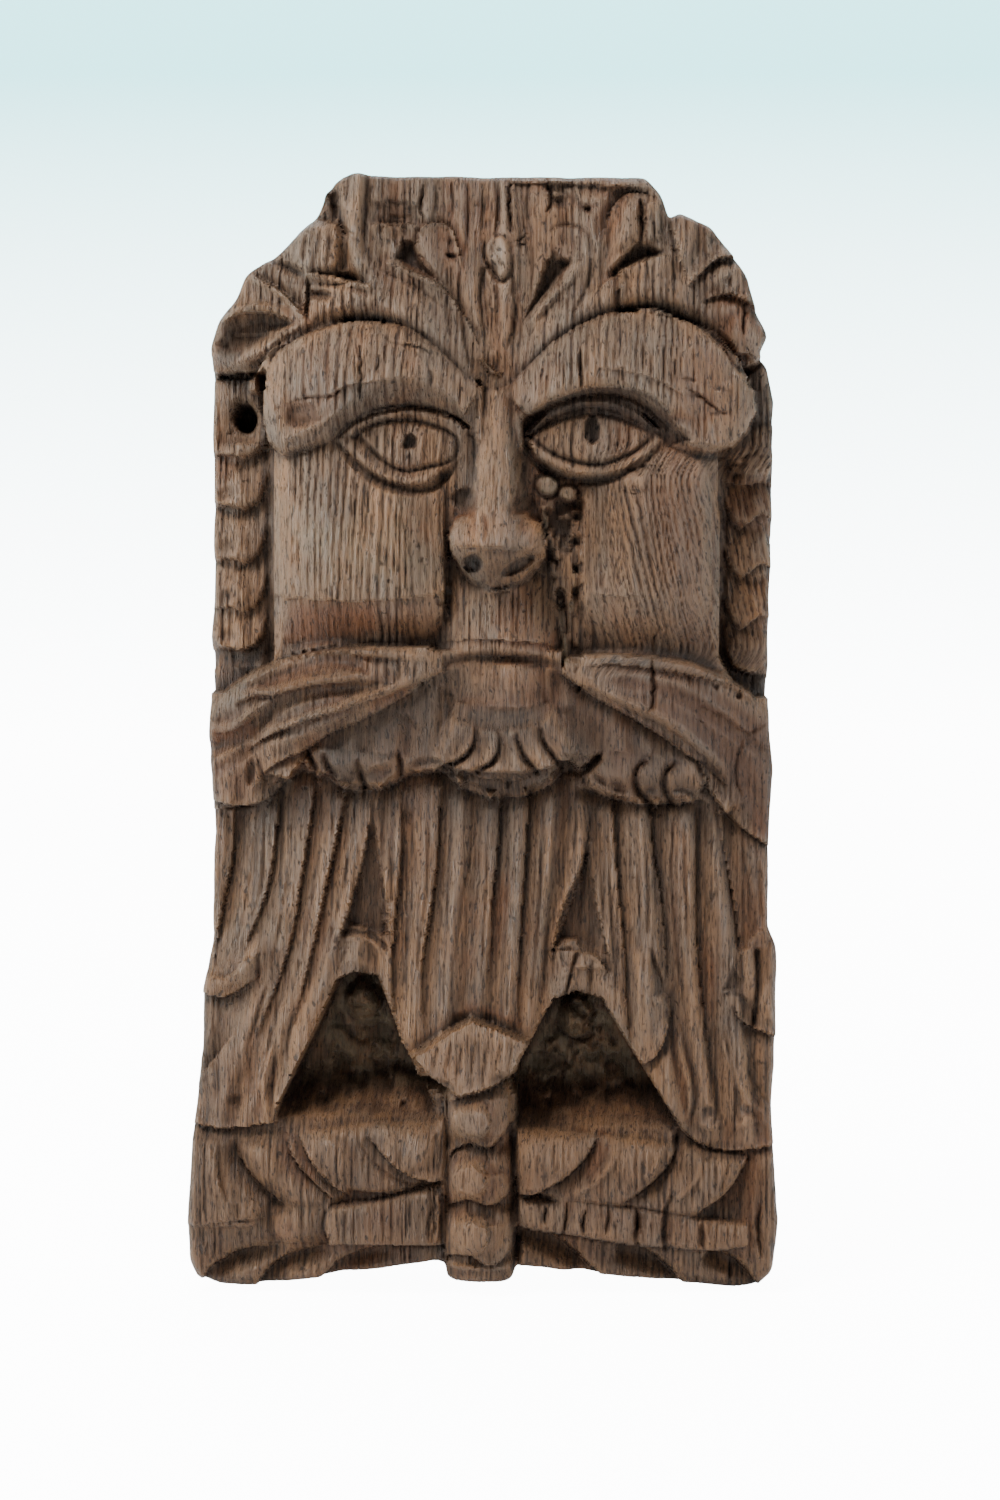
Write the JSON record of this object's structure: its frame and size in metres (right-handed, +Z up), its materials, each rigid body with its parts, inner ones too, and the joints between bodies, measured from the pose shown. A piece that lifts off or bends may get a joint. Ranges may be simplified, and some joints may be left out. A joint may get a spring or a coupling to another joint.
{
  "type": "green_man_mask",
  "caption": "Carved oak foliate mask: a bearded face framed by forehead leaves and side scales, with deep hollows under the beard, a knopped stem and a petal collar. Flat back lies on a wall.",
  "frame": {"origin": "centre of the mask's height on its flat back face, where it meets the wall", "axes": "+Z is up the mask, -Y is the way the face looks, +Y points into the wall, +X is to the right as seen from the front"},
  "size_m": [0.159, 0.0618, 0.3],
  "materials": {
    "oak": "dark aged oak, worn to a low sheen on the high places"
  },
  "bodies": {
    "root": {"carved_block": "oak"}
  },
  "joints": []
}
